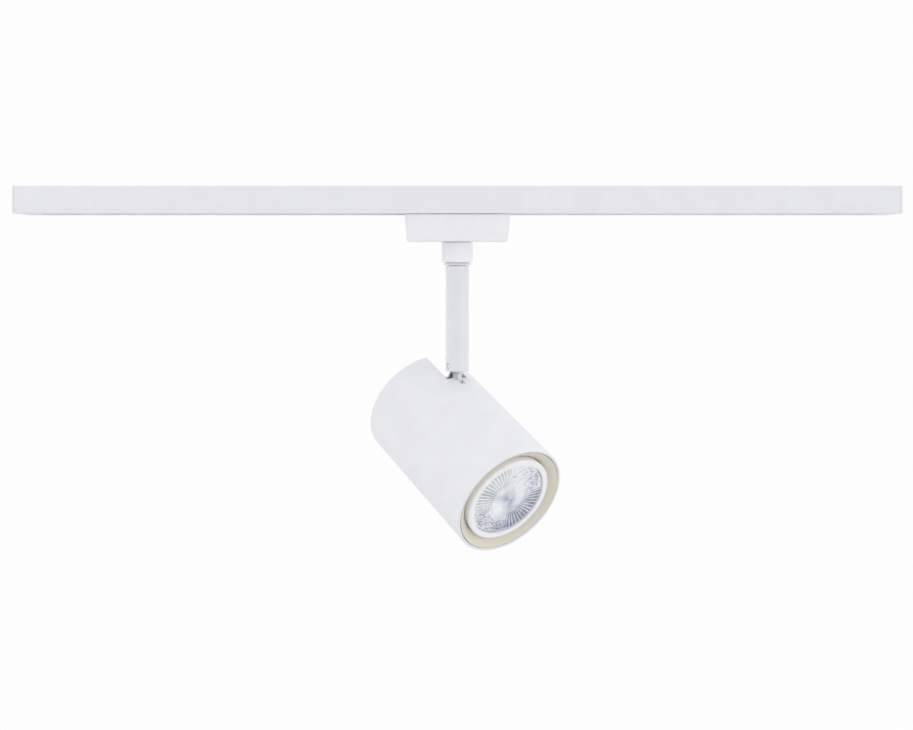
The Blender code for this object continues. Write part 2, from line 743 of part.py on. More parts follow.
def earth_screw(frame):
    """Screw that clamps the earth lead to the bracket."""
    bracket = bpy.data.objects["lamp_bracket"]
    spot = (HOLDER_BACK - GAP - 1.5 * MM - GAP, 17 * MM, 0)
    drill(bracket, M3_HOLE, 15 * MM, 23 * MM, frame, (0, 17 * MM, 0), TURN_X)
    machine_screw("earth_screw", "brass", 2.8 * MM, 1.6 * MM, 4.5 * MM, frame, spot, TURN_X)


def arc_slot(radius, half, start, end, steps=5):
    """Outline of a slot of the given half width that follows an arc about the axis."""
    shape = arc(radius + half, start, end, steps)
    tip = (radius * math.cos(end), radius * math.sin(end))
    shape += arc(half, end, end + math.pi, 6, tip)[1:-1]
    shape += arc(radius - half, end, start, steps)
    tip = (radius * math.cos(start), radius * math.sin(start))
    shape += arc(half, start + math.pi, start + math.tau, 6, tip)[1:-1]
    return shape


def lamp_holder(frame):
    """Ceramic GU10 holder: entry holes, narrow arc slots for the pins' necks, wider room behind."""
    edge = 0.8 * MM
    profile = [
        (0, HOLDER_FRONT),
        (HOLDER_RADIUS - edge, HOLDER_FRONT),
        (HOLDER_RADIUS, HOLDER_FRONT - edge),
        (HOLDER_RADIUS, HOLDER_BACK),
        (0, HOLDER_BACK),
    ]
    holder = turned("lamp_holder", "ceramic", profile, frame, rotation=TURN_X, segments=40)
    lip = 33.2 * MM
    floor = 27.4 * MM
    for start, pole in ((0, "live"), (math.pi, "neutral")):
        room = arc_slot(PIN_OFFSET, 2.9 * MM, start, start + TWIST)
        cutter = extruded(f"holder_room_{pole}", None, [room], lip - floor, frame,
                          ((lip + floor) / 2, 0, 0), FACING_X)
        combine(holder, cutter)
        neck = arc_slot(PIN_OFFSET, 1.9 * MM, start, start + TWIST)
        cutter = extruded(f"holder_slot_{pole}", None, [neck], 6 * MM, frame, (35 * MM, 0, 0), FACING_X)
        combine(holder, cutter)
        y = PIN_OFFSET * math.cos(start + TWIST)
        z = PIN_OFFSET * math.sin(start + TWIST)
        drill(holder, 2.89 * MM, 32 * MM, 38 * MM, frame, (0, y, z), TURN_X)
        plate = arc_slot(PIN_OFFSET, 2.3 * MM, start, start + TWIST)
        extruded(f"holder_contact_{pole}", "brass", [plate], 0.8 * MM, frame, (28.1 * MM, 0, 0), FACING_X)
    for sign in (-1, 1):
        drill(holder, M3_HOLE, 18 * MM, 26.5 * MM, frame, (0, 0, sign * 8 * MM), TURN_X)


def front_ring(frame):
    """Funnel between the tube's mouth and the lamp, with a sleeve that seats in the tube."""
    outer = HEAD_RADIUS - HEAD_WALL - GAP
    throat = LAMP_RADIUS + 0.5 * MM
    sleeve = 1.4 * MM
    profile = [
        (outer, HEAD_LENGTH - 0.2 * MM),
        (outer, 80 * MM),
        (outer - sleeve, 80 * MM),
        (outer - sleeve, 88.4 * MM),
        (throat + 0.6 * MM, 85.6 * MM),
        (throat, 85.6 * MM),
        (throat, 87 * MM),
        (outer - 0.3 * MM, HEAD_LENGTH - 0.2 * MM),
    ]
    turned("front_ring", "cream_plastic", profile, frame, rotation=TURN_X, segments=64)


def hinge_bracket(frame):
    """Pressed bracket inside the tube: two ears for the pivot, side walls and welded flanges."""
    back = 21.3 * MM
    length = 8.4 * MM
    middle = back + length / 2
    sheet = 1.5 * MM
    floor = 20 * MM
    wall = 9.4 * MM
    flange_top = 27.4 * MM
    half = [
        (floor, wall),
        (flange_top - sheet, wall),
        (flange_top - sheet, 13 * MM),
        (flange_top, 13 * MM),
        (flange_top, wall - sheet),
        (floor + sheet, wall - sheet),
    ]
    shape = [(y, z) for z, y in mirrored(half)]
    made = extruded("hinge_bracket", "white_paint", [shape], length, frame, (middle, 0, 0), FACING_X)
    ear_radius = length / 2
    ear = [(back, floor + 0.7 * MM), (back + length, floor + 0.7 * MM)]
    ear += arc(ear_radius, 0, math.pi, 8, (PIVOT_FORWARD, PIVOT_RISE))
    for sign, side in ((-1, "left"), (1, "right")):
        place_y = sign * 3.15 * MM
        blank = extruded(f"hinge_ear_{side}", None, [ear], sheet, frame, (0, place_y, 0), FACING_Y)
        combine(made, blank, "UNION")
    spot = (PIVOT_FORWARD, 0, PIVOT_RISE)
    drill(made, M3_HOLE, -6 * MM, 6 * MM, frame, spot, TURN_Y)


def pivot_parts(frame):
    """Screw, nut and friction washers on the tilt axis."""
    machine_screw("pivot_screw", "steel", 2.75 * MM, 1.8 * MM, 11.2 * MM,
                  frame, (0, -4.2 * MM, 0), TURN_Y)
    extruded("pivot_nut", "steel", [circle(3.1 * MM, 6), circle(M3_HOLE, 16)], 2.4 * MM,
             frame, (0, 5.4 * MM, 0), TURN_Y)
    for sign, side in ((-1, "left"), (1, "right")):
        extruded(f"friction_washer_{side}", "natural_nylon", [circle(3.8 * MM), circle(M3_HOLE, 16)],
                 0.6 * MM, frame, (0, sign * 1.8 * MM, 0), TURN_Y)


def head_leads(frame):
    """Leads from below the pivot slot to the holder, and the earth lead to its screw."""
    stop = HOLDER_BACK - GAP
    for sign, pole, finish in ((1, "live", "brown_lead"), (-1, "neutral", "blue_lead")):
        y = sign * 2.2 * MM
        route = [
            (13.5 * MM, sign * 3.4 * MM, 16.8 * MM),
            (11 * MM, sign * 3.2 * MM, 12 * MM),
            (11 * MM, y, 6 * MM),
            (14 * MM, y, 1.5 * MM),
            (18 * MM, y, 0),
            (stop, y, 0),
        ]
        lead(f"head_lead_{pole}", finish, route, frame)
    route = [
        (13.5 * MM, 0, 16.8 * MM),
        (10 * MM, 1 * MM, 13 * MM),
        (9 * MM, 6 * MM, 8 * MM),
        (10 * MM, 12 * MM, 3 * MM),
        (13 * MM, 16 * MM, 0.5 * MM),
        (15.6 * MM, 17 * MM, 0),
    ]
    lead("head_lead_earth", "green_yellow_lead", route, frame)


# ---------------------------------------------------------------- lamp

def lamp_body(frame):
    """Reflector-lamp body, open at the front for the lens and at the back for its base."""
    edge = 0.5 * MM
    seat = LENS_BACK - GAP
    profile = [
        (LAMP_RADIUS - edge, LAMP_FRONT),
        (LAMP_RADIUS, LAMP_FRONT - edge),
        (LAMP_RADIUS, 84 * MM),
        (24.2 * MM, 81 * MM),
        (21.5 * MM, 72 * MM),
        (18.5 * MM, 62 * MM),
        (15.5 * MM, 53 * MM),
        (14.2 * MM, 48 * MM),
        (13 * MM, 48 * MM),
        (14.2 * MM, 53.5 * MM),
        (17.2 * MM, 62.5 * MM),
        (20.2 * MM, 72.5 * MM),
        (20.6 * MM, seat - 0.4 * MM),
        (LENS_RADIUS + GAP, seat),
        (LENS_RADIUS + GAP, LAMP_FRONT),
    ]
    turned("lamp_body", "white_plastic", profile, frame, rotation=TURN_X, segments=48)


def lamp_lens(frame):
    """Clear front lens with a slight crown."""
    edge = 0.3 * MM
    crown = LAMP_FRONT - 0.3 * MM
    profile = [
        (0, crown),
        (9 * MM, crown - 0.15 * MM),
        (17 * MM, crown - 0.5 * MM),
        (LENS_RADIUS - edge, crown - MM),
        (LENS_RADIUS, crown - MM - edge),
        (LENS_RADIUS, LENS_BACK),
        (0, LENS_BACK),
    ]
    turned("lamp_lens", "clear_lens", profile, frame, rotation=TURN_X, segments=48)


def lamp_electronics(frame):
    """LED board with its emitter, and the driver board behind it."""
    rod("led_board", "white_plastic", 19.4 * MM, 74 * MM, 75.6 * MM, frame, rotation=TURN_X, segments=32)
    rod("led_emitter", "led_yellow", 5.5 * MM, 75.9 * MM, 76.7 * MM, frame, rotation=TURN_X)
    board = block("driver_board", "green_board",
                  (42 * MM, -8.5 * MM, -0.8 * MM), (72 * MM, 8.5 * MM, 0.8 * MM), frame)
    capacitor = rod("driver_capacitor", None, 4 * MM, 56 * MM, 68 * MM, frame,
                    (0, 0, 4.2 * MM), TURN_X)
    combine(board, capacitor, "UNION")


def lamp_base(frame):
    """Plastic base that plugs into the body, with the two bayonet pins."""
    profile = [
        (0, 40 * MM),
        (10.4 * MM, 40 * MM),
        (11.2 * MM, 51 * MM),
        (12.6 * MM, 51 * MM),
        (12.6 * MM, 47.7 * MM),
        (13.9 * MM, 47.7 * MM),
        (13.9 * MM, 46.5 * MM),
        (12.2 * MM, 42 * MM),
        (11.6 * MM, 36.9 * MM),
        (11.3 * MM, 36.6 * MM),
        (0, 36.6 * MM),
    ]
    base = turned("lamp_base", "white_plastic", profile, frame, rotation=TURN_X, segments=32)
    pin = [
        (0, 39.6 * MM),
        (M3_RADIUS, 39.6 * MM),
        (M3_RADIUS, 32.6 * MM),
        (2.5 * MM, 32.2 * MM),
        (2.5 * MM, 29.4 * MM),
        (2.2 * MM, 29 * MM),
        (0, 29 * MM),
    ]
    for sign, pole in ((1, "live"), (-1, "neutral")):
        spot = (0, sign * PIN_OFFSET, 0)
        drill(base, M3_HOLE, 35 * MM, 41 * MM, frame, spot, TURN_X)
        turned(f"lamp_pin_{pole}", "steel", pin, frame, spot, TURN_X, 16)


# ---------------------------------------------------------------- assembly

def build():
    rail_profile()
    conductor_carriers()
    end_caps()

    slide = empty_frame("slide_frame")
    adapter_housing(slide)
    adapter_top_block(slide)
    adapter_screws(slide)
    contacts(slide)
    earth_spring(slide)
    terminal_block(slide)
    neck_collar(slide)
    neck_bush(slide)
    pan_stop_peg(slide)

    lock_lever_and_cam(empty_frame("lock_frame", slide, (LOCK_X, 0, 0)))

    pan = empty_frame("pan_frame", slide, rotation=(0, 0, PAN))
    pan_stack(pan)
    stem_tube(pan)
    stem_knuckle(pan)
    knuckle_pin(pan)
    stem_leads(pan)

    tilt = empty_frame("tilt_frame", pan, (0, 0, PIVOT_Z), (0, TILT, 0))
    pivot_parts(tilt)
    head = empty_frame("head_frame", tilt, (-PIVOT_FORWARD, 0, -PIVOT_RISE))
    head_shell(head)
    back_cover(head)
    lamp_bracket(head)
    earth_screw(head)
    lamp_holder(head)
    front_ring(head)
    hinge_bracket(head)
    head_leads(head)

    lamp_body(head)
    lamp_lens(head)
    lamp_electronics(head)
    lamp_base(head)


for old in list(bpy.data.objects):
    bpy.data.objects.remove(old)
model = fresh_collection("track_spotlight")
cutters = fresh_collection("cutters")
build()
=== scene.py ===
"""Looks for the track spotlight: fine pieces, materials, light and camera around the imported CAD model.

Fine pieces take their places and main sizes from the CAD nodes they stand for. Three local frames
are used: the world frame for the rail and the adapter, STEM (X the way the head faces, Y along the
tilt pivot) and HEAD (X along the head from its back rim, Z towards the tilt pivot).
"""

import json
import math

import bmesh
import bpy
from mathutils import Matrix, Vector


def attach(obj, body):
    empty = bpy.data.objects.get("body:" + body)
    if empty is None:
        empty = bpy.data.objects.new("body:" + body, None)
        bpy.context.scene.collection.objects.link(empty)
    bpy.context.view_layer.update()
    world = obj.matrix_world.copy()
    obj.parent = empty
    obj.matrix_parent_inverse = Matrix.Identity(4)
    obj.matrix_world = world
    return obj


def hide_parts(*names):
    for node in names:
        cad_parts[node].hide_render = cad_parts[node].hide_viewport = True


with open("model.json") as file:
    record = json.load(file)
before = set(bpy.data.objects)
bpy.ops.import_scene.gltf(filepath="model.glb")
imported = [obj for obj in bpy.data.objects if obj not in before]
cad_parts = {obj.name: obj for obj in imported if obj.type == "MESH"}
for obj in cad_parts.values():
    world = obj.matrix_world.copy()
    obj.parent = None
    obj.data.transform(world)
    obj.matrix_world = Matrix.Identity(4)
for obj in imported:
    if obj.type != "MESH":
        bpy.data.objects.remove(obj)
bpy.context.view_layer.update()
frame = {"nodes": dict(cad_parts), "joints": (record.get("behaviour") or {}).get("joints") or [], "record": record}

MM = 0.001
NODES = frame["nodes"]
JOINTS = {joint["name"]: joint for joint in frame["joints"]}
BODY_OF = {node: body for body, nodes in frame["record"]["behaviour"]["bodies"].items() for node in nodes}
SLOT_OF = {part["node"]: part["material_slot"] for part in frame["record"]["subparts"]}

# How far each end of the rail closes in on its cap, which leaves a finer seam than the CAD's gap
SEAM_FILL = 0.17 * MM

# Ceiling screw holes in the rail, left and right of its middle
HOLE_X = 160 * MM

# Lamp, and its lens: a smooth dome, then ribs in two opposite sectors and honeycomb in the other two
LAMP_RADIUS = 25 * MM
LENS_DOME = 9.5 * MM
LENS_EDGE = 21.6 * MM
LENS_RIBS = 60
LENS_CELL = 0.95 * MM
RIB_SECTOR = math.radians(-60)

# Closest points that count as one, in a turned profile, a baked mesh and a CAD copy
TURNED_MERGE = 0.005 * MM
BAKED_MERGE = 0.003 * MM
COPY_MERGE = 0.005 * MM
SHARP_ANGLE = math.radians(40)

# Studio: the floor is far below, as the fitting hangs from a ceiling
FLOOR_Z = -1.35
FLOOR_RADIUS = 3
LIT_POINT = Vector((0, 0, -0.1))
CAMERA_PLACE = (-0.44 * MM, -0.8, -0.040)


# ---------------------------------------------------------------- local frames and CAD sizes

def frame_matrix(origin, x_axis, y_axis):
    """Local frame with the given origin and X and Y axes."""
    z_axis = x_axis.cross(y_axis)
    turn = Matrix((x_axis, y_axis, z_axis)).transposed()
    return Matrix.Translation(origin) @ turn.to_4x4()


def reach(node, matrix):
    """Lowest and highest corner of a CAD node in a local frame."""
    inverse = matrix.inverted()
    points = [inverse @ vertex.co for vertex in NODES[node].data.vertices]
    low = Vector([min(point[i] for point in points) for i in range(3)])
    high = Vector([max(point[i] for point in points) for i in range(3)])
    return low, high


def head_matrix():
    """HEAD frame: its origin is on the lamp's axis at the tube's back rim."""
    axis = Vector(JOINTS["lamp_twist"]["axis"]).normalized()
    pivot = Vector(JOINTS["head_tilt"]["axis"]).normalized()
    on_axis = Vector(JOINTS["lamp_twist"]["pos_m"])
    back = min(vertex.co.dot(axis) for vertex in NODES["head_shell"].data.vertices)
    return frame_matrix(on_axis + axis * (back - on_axis.dot(axis)), axis, pivot)


def stem_matrix():
    """STEM frame: its origin is the world's, on the stem's axis."""
    pivot = Vector(JOINTS["head_tilt"]["axis"]).normalized()
    return frame_matrix(Vector((0, 0, 0)), pivot.cross(Vector((0, 0, 1))), pivot)


WORLD = Matrix.Identity(4)
HEAD = head_matrix()
STEM = stem_matrix()
TURN_Z_TO_X = Matrix.Rotation(math.pi / 2, 4, "Y")
TURN_Z_TO_Y = Matrix.Rotation(-math.pi / 2, 4, "X")
FACING_X = Matrix.Rotation(math.pi / 2, 4, "Z") @ Matrix.Rotation(math.pi / 2, 4, "X")


# ---------------------------------------------------------------- shapes

def arc(radius, start, end, steps, centre):
    """Points on an arc, both ends included."""
    angles = [start + (end - start) * i / steps for i in range(steps + 1)]
    return [(centre[0] + radius * math.cos(a), centre[1] + radius * math.sin(a)) for a in angles]


def rounded(corners, steps=5, closed=True):
    """Outline or profile whose corners are (x, y) or, where rounded, (x, y, radius)."""
    points = []
    last = len(corners) - 1
    for i, corner in enumerate(corners):
        here = Vector(corner[:2])
        if len(corner) == 2 or (not closed and i in (0, last)):
            points.append(tuple(here))
            continue
        back = (Vector(corners[i - 1][:2]) - here).normalized()
        ahead = (Vector(corners[(i + 1) % len(corners)][:2]) - here).normalized()
        half = back.angle(ahead) / 2
        centre = here + (back + ahead).normalized() * corner[2] / math.sin(half)
        run = corner[2] / math.tan(half)
        first = here + back * run - centre
        turn = first.angle_signed(here + ahead * run - centre)
        start = math.atan2(first.y, first.x)
        points += arc(corner[2], start, start - turn, steps, centre)
    return points


def new_piece(name, mesh, matrix):
    """Object in the scene that shows a mesh or a curve, placed by its matrix."""
    made = bpy.data.objects.new(name, mesh)
    bpy.context.scene.collection.objects.link(made)
    made.matrix_world = matrix
    return made


def turned(name, profile, matrix, segments=96):
    """Solid of revolution about local Z. The (radius, height) points run down its outer side."""
    mesh = bpy.data.meshes.new(name)
    edges = [(i, i + 1) for i in range(len(profile) - 1)]
    if profile[0][0] > 0:
        edges.append((len(profile) - 1, 0))
    mesh.from_pydata([(radius, 0, height) for radius, height in profile], edges, [])
    made = new_piece(name, mesh, matrix)
    spin = made.modifiers.new("Turn", "SCREW")
    spin.axis = "Z"
    spin.steps = segments
    spin.render_steps = segments
    spin.use_merge_vertices = True
    spin.merge_threshold = TURNED_MERGE
    spin.use_smooth_shade = True
    return made


def extruded(name, outlines, thickness, matrix, edge=0.0, edge_steps=2):
    """Flat outline, and holes in it, made solid along local Z, with rounded edges."""
    curve = bpy.data.curves.new(name, "CURVE")
    curve.dimensions = "2D"
    curve.fill_mode = "BOTH"
    curve.extrude = thickness / 2 - edge
    curve.bevel_depth = edge
    curve.bevel_resolution = edge_steps
    curve.offset = -edge
    for points in outlines:
        spline = curve.splines.new("POLY")
        spline.points.add(len(points) - 1)
        for target, (x, y) in zip(spline.points, points):
            target.co = (x, y, 0, 1)
        spline.use_cyclic_u = True
    return baked(new_piece(name, curve, matrix))


def baked(piece):
    """The piece as one mesh, with its modifiers applied and doubled points merged."""
    bpy.context.view_layer.update()
    graph = bpy.context.evaluated_depsgraph_get()
    mesh = bpy.data.meshes.new_from_object(piece.evaluated_get(graph))
    shape = bmesh.new()
    shape.from_mesh(mesh)
    bmesh.ops.remove_doubles(shape, verts=shape.verts, dist=BAKED_MERGE)
    bmesh.ops.recalc_face_normals(shape, faces=shape.faces)
    for face in shape.faces:
        face.smooth = True
    shape.to_mesh(mesh)
    shape.free()
    mesh.set_sharp_from_angle(angle=SHARP_ANGLE)
    name = piece.name
    matrix = piece.matrix_world.copy()
    bpy.data.objects.remove(piece)
    mesh.name = name
    return new_piece(name, mesh, matrix)


def cut_by(piece, cutters):
    """The piece cut by other pieces, which are used up."""
    for cutter in cutters:
        cut = piece.modifiers.new("Cut", "BOOLEAN")
        cut.operation = "DIFFERENCE"
        cut.object = cutter
    made = baked(piece)
    for cutter in cutters:
        bpy.data.objects.remove(cutter)
    return made


def block(name, low, high):
    """Plain box between two corners, used only as a cutter."""
    low = Vector(low)
    high = Vector(high)
    mesh = bpy.data.meshes.new(name)
    shape = bmesh.new()
    place = Matrix.Translation((low + high) / 2) @ Matrix.Diagonal((*(high - low), 1))
    bmesh.ops.create_cube(shape, size=1, matrix=place)
    shape.to_mesh(mesh)
    shape.free()
    return new_piece(name, mesh, WORLD)


def refined(node, width, matrix=WORLD, segments=3, angle=35):
    """Copy of a CAD node with its flat faces made whole and its sharp edges rounded."""
    source = NODES[node]
    shape = bmesh.new()
    shape.from_mesh(source.data)
    bmesh.ops.remove_doubles(shape, verts=shape.verts, dist=COPY_MERGE)
    bmesh.ops.dissolve_limit(shape, angle_limit=math.radians(1), verts=shape.verts, edges=shape.edges)
    for face in shape.faces:
        face.smooth = True
    mesh = bpy.data.meshes.new(f"{node}_fine")
    shape.to_mesh(mesh)
    shape.free()
    mesh.transform(matrix.inverted())
    made = new_piece(f"{node}_fine", mesh, matrix)
    soften = made.modifiers.new("Rounded edges", "BEVEL")
    soften.width = width
    soften.segments = segments
    soften.limit_method = "ANGLE"
    soften.angle_limit = math.radians(angle)
    return made


def finished(piece, node):
    """The piece stands for its CAD node: it rides on its body and takes its finish."""
    even = piece.modifiers.new("Even shading", "WEIGHTED_NORMAL")
    even.keep_sharp = True
    even.weight = 50
    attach(piece, BODY_OF[node])
    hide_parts(node)
    piece.data.materials.clear()
    piece.data.materials.append(MATERIALS[SLOT_OF[node]])


# ---------------------------------------------------------------- materials

def shader_material(name, **values):
    """Principled material with constant sockets; _ in a keyword stands for a space."""
    made = bpy.data.materials.new(name)
    made.use_nodes = True
    shader = made.node_tree.nodes["Principled BSDF"]
    for socket, value in values.items():
        shader.inputs[socket.replace("_", " ")].default_value = value
    return made


def add(made, kind, **settings):
    """New shader node with its settings."""
    node = made.node_tree.nodes.new(kind)
    for setting, value in settings.items():
        setattr(node, setting, value)
    return node


def join(made, source, target):
    made.node_tree.links.new(source, target)


def principled(made):
    return made.node_tree.nodes["Principled BSDF"]


def grain(made, size, stretch=(1, 1, 1), detail=3.0, roughness=0.55):
    """Noise whose features are about size across, in metres, on the piece itself."""
    place = add(made, "ShaderNodeTexCoord")
    scale = add(made, "ShaderNodeMapping")
    scale.inputs["Scale"].default_value = stretch
    noise = add(made, "ShaderNodeTexNoise")
    noise.inputs["Scale"].default_value = 1 / size
    noise.inputs["Detail"].default_value = detail
    noise.inputs["Roughness"].default_value = roughness
    join(made, place.outputs["Object"], scale.inputs["Vector"])
    join(made, scale.outputs["Vector"], noise.inputs["Vector"])
    return noise


def tinted(made, noise, dark, light, low=0.35, high=0.65):
    """Base colour that drifts between two tones with the noise."""
    ramp = add(made, "ShaderNodeValToRGB")
    ramp.color_ramp.elements[0].position = low
    ramp.color_ramp.elements[0].color = (*dark, 1)
    ramp.color_ramp.elements[1].position = high
    ramp.color_ramp.elements[1].color = (*light, 1)
    join(made, noise.outputs["Fac"], ramp.inputs["Fac"])
    join(made, ramp.outputs["Color"], principled(made).inputs["Base Color"])


def varied_roughness(made, noise, low, high):
    """Roughness that drifts between two values with the noise."""
    span = add(made, "ShaderNodeMapRange")
    span.inputs["From Min"].default_value = 0.3
    span.inputs["From Max"].default_value = 0.7
    span.inputs["To Min"].default_value = low
    span.inputs["To Max"].default_value = high
    join(made, noise.outputs["Fac"], span.inputs["Value"])
    join(made, span.outputs["Result"], principled(made).inputs["Roughness"])


def bumped(made, noise, height):
    """Relief of the noise, its height in metres."""
    bump = add(made, "ShaderNodeBump")
    bump.inputs["Distance"].default_value = height
    bump.inputs["Strength"].default_value = 1
    join(made, noise.outputs["Fac"], bump.inputs["Height"])
    join(made, bump.outputs["Normal"], principled(made).inputs["Normal"])


def scaled(colour, factor):
    return tuple(min(channel * factor, 1.0) for channel in colour)


def painted(name, colour, rough=(0.38, 0.48), peel=0.5 * MM, height=0.006 * MM):
    """Powder coat or sprayed paint: orange peel, faint drift in tone, uneven gloss."""
    made = shader_material(name, Specular_IOR_Level=0.5)
    tinted(made, grain(made, 14 * MM, detail=2), scaled(colour, 0.985), scaled(colour, 1.01))
    fine = grain(made, peel)
    varied_roughness(made, fine, *rough)
    bumped(made, fine, height)
    return made


def moulded(name, colour, rough=(0.42, 0.52), spark=0.25 * MM, height=0.004 * MM):
    """Injection-moulded plastic with a fine spark-eroded texture."""
    made = shader_material(name, Subsurface_Weight=0.04, Subsurface_Scale=0.4 * MM)
    tinted(made, grain(made, 9 * MM, detail=2), scaled(colour, 0.985), scaled(colour, 1.01))
    fine = grain(made, spark, detail=4)
    varied_roughness(made, fine, *rough)
    bumped(made, fine, height)
    return made


def metal(name, colour, rough=(0.22, 0.36), stretch=(1, 1, 8), scratch=0.3 * MM, height=0.002 * MM):
    """Machined, drawn or plated metal with fine directional marks."""
    made = shader_material(name, Metallic=1.0)
    tinted(made, grain(made, 3 * MM, detail=3), scaled(colour, 0.92), scaled(colour, 1.05))
    fine = grain(made, scratch, stretch, detail=4)
    varied_roughness(made, fine, *rough)
    bumped(made, fine, height)
    return made


def lead_insulation(name, colour):
    """Silicone insulation with a dull, slightly uneven surface."""
    made = shader_material(name, Sheen_Weight=0.15)
    tinted(made, grain(made, 4 * MM), scaled(colour, 0.9), scaled(colour, 1.08))
    fine = grain(made, 0.2 * MM)
    varied_roughness(made, fine, 0.45, 0.6)
    bumped(made, fine, 0.003 * MM)
    return made


def earth_insulation(name, green, yellow):
    """Green silicone with a yellow stripe along it."""
    made = lead_insulation(name, green)
    place = add(made, "ShaderNodeTexCoord")
    bands = add(made, "ShaderNodeTexWave", bands_direction="DIAGONAL")
    bands.inputs["Scale"].default_value = 260
    stripe = add(made, "ShaderNodeValToRGB")
    stripe.color_ramp.interpolation = "CONSTANT"
    stripe.color_ramp.elements[0].color = (*green, 1)
    stripe.color_ramp.elements[1].position = 0.6
    stripe.color_ramp.elements[1].color = (*yellow, 1)
    join(made, place.outputs["Object"], bands.inputs["Vector"])
    join(made, bands.outputs["Fac"], stripe.inputs["Fac"])
    join(made, stripe.outputs["Color"], principled(made).inputs["Base Color"])
    return made


def ceramic_glaze(name, colour):
    """Speckled ceramic under a thin glaze."""
    made = shader_material(name, Coat_Weight=0.2, Coat_Roughness=0.3)
    tinted(made, grain(made, 0.6 * MM, detail=6, roughness=0.7), scaled(colour, 0.93), colour, 0.3, 0.5)
    fine = grain(made, 0.4 * MM)
    varied_roughness(made, fine, 0.4, 0.6)
    bumped(made, fine, 0.008 * MM)
    return made


def phosphor(name, colour):
    """Grainy yellow coating over the diodes."""
    made = shader_material(name, Subsurface_Weight=0.2, Subsurface_Scale=0.5 * MM)
    tinted(made, grain(made, 0.25 * MM, detail=5), scaled(colour, 0.85), scaled(colour, 1.1))
    varied_roughness(made, grain(made, 0.2 * MM), 0.35, 0.5)
    return made


def circuit_board(name, colour, copper):
    """Solder mask over a grid of tracks."""
    made = shader_material(name, Coat_Weight=0.4, Coat_Roughness=0.2)
    place = add(made, "ShaderNodeTexCoord")
    tracks = add(made, "ShaderNodeTexBrick")
    tracks.inputs["Scale"].default_value = 180
    tracks.inputs["Mortar Size"].default_value = 0.03
    tracks.inputs["Color1"].default_value = (*colour, 1)
    tracks.inputs["Color2"].default_value = (*scaled(colour, 0.8), 1)
    tracks.inputs["Mortar"].default_value = (*copper, 1)
    join(made, place.outputs["Object"], tracks.inputs["Vector"])
    join(made, tracks.outputs["Color"], principled(made).inputs["Base Color"])
    varied_roughness(made, grain(made, 0.5 * MM), 0.35, 0.5)
    return made


def maths(made, operation, *values):
    """Math node; each value is a number or another node's output."""
    node = add(made, "ShaderNodeMath", operation=operation)
    for socket, value in zip(node.inputs, values):
        if isinstance(value, (int, float)):
            socket.default_value = value
        else:
            join(made, value, socket)
    return node.outputs["Value"]


def smooth_step(made, value, low, high):
    """0 below low and 1 above high, with a smooth change between them."""
    span = add(made, "ShaderNodeMapRange", interpolation_type="SMOOTHSTEP")
    span.inputs["From Min"].default_value = low
    span.inputs["From Max"].default_value = high
    join(made, value, span.inputs["Value"])
    return span.outputs["Result"]


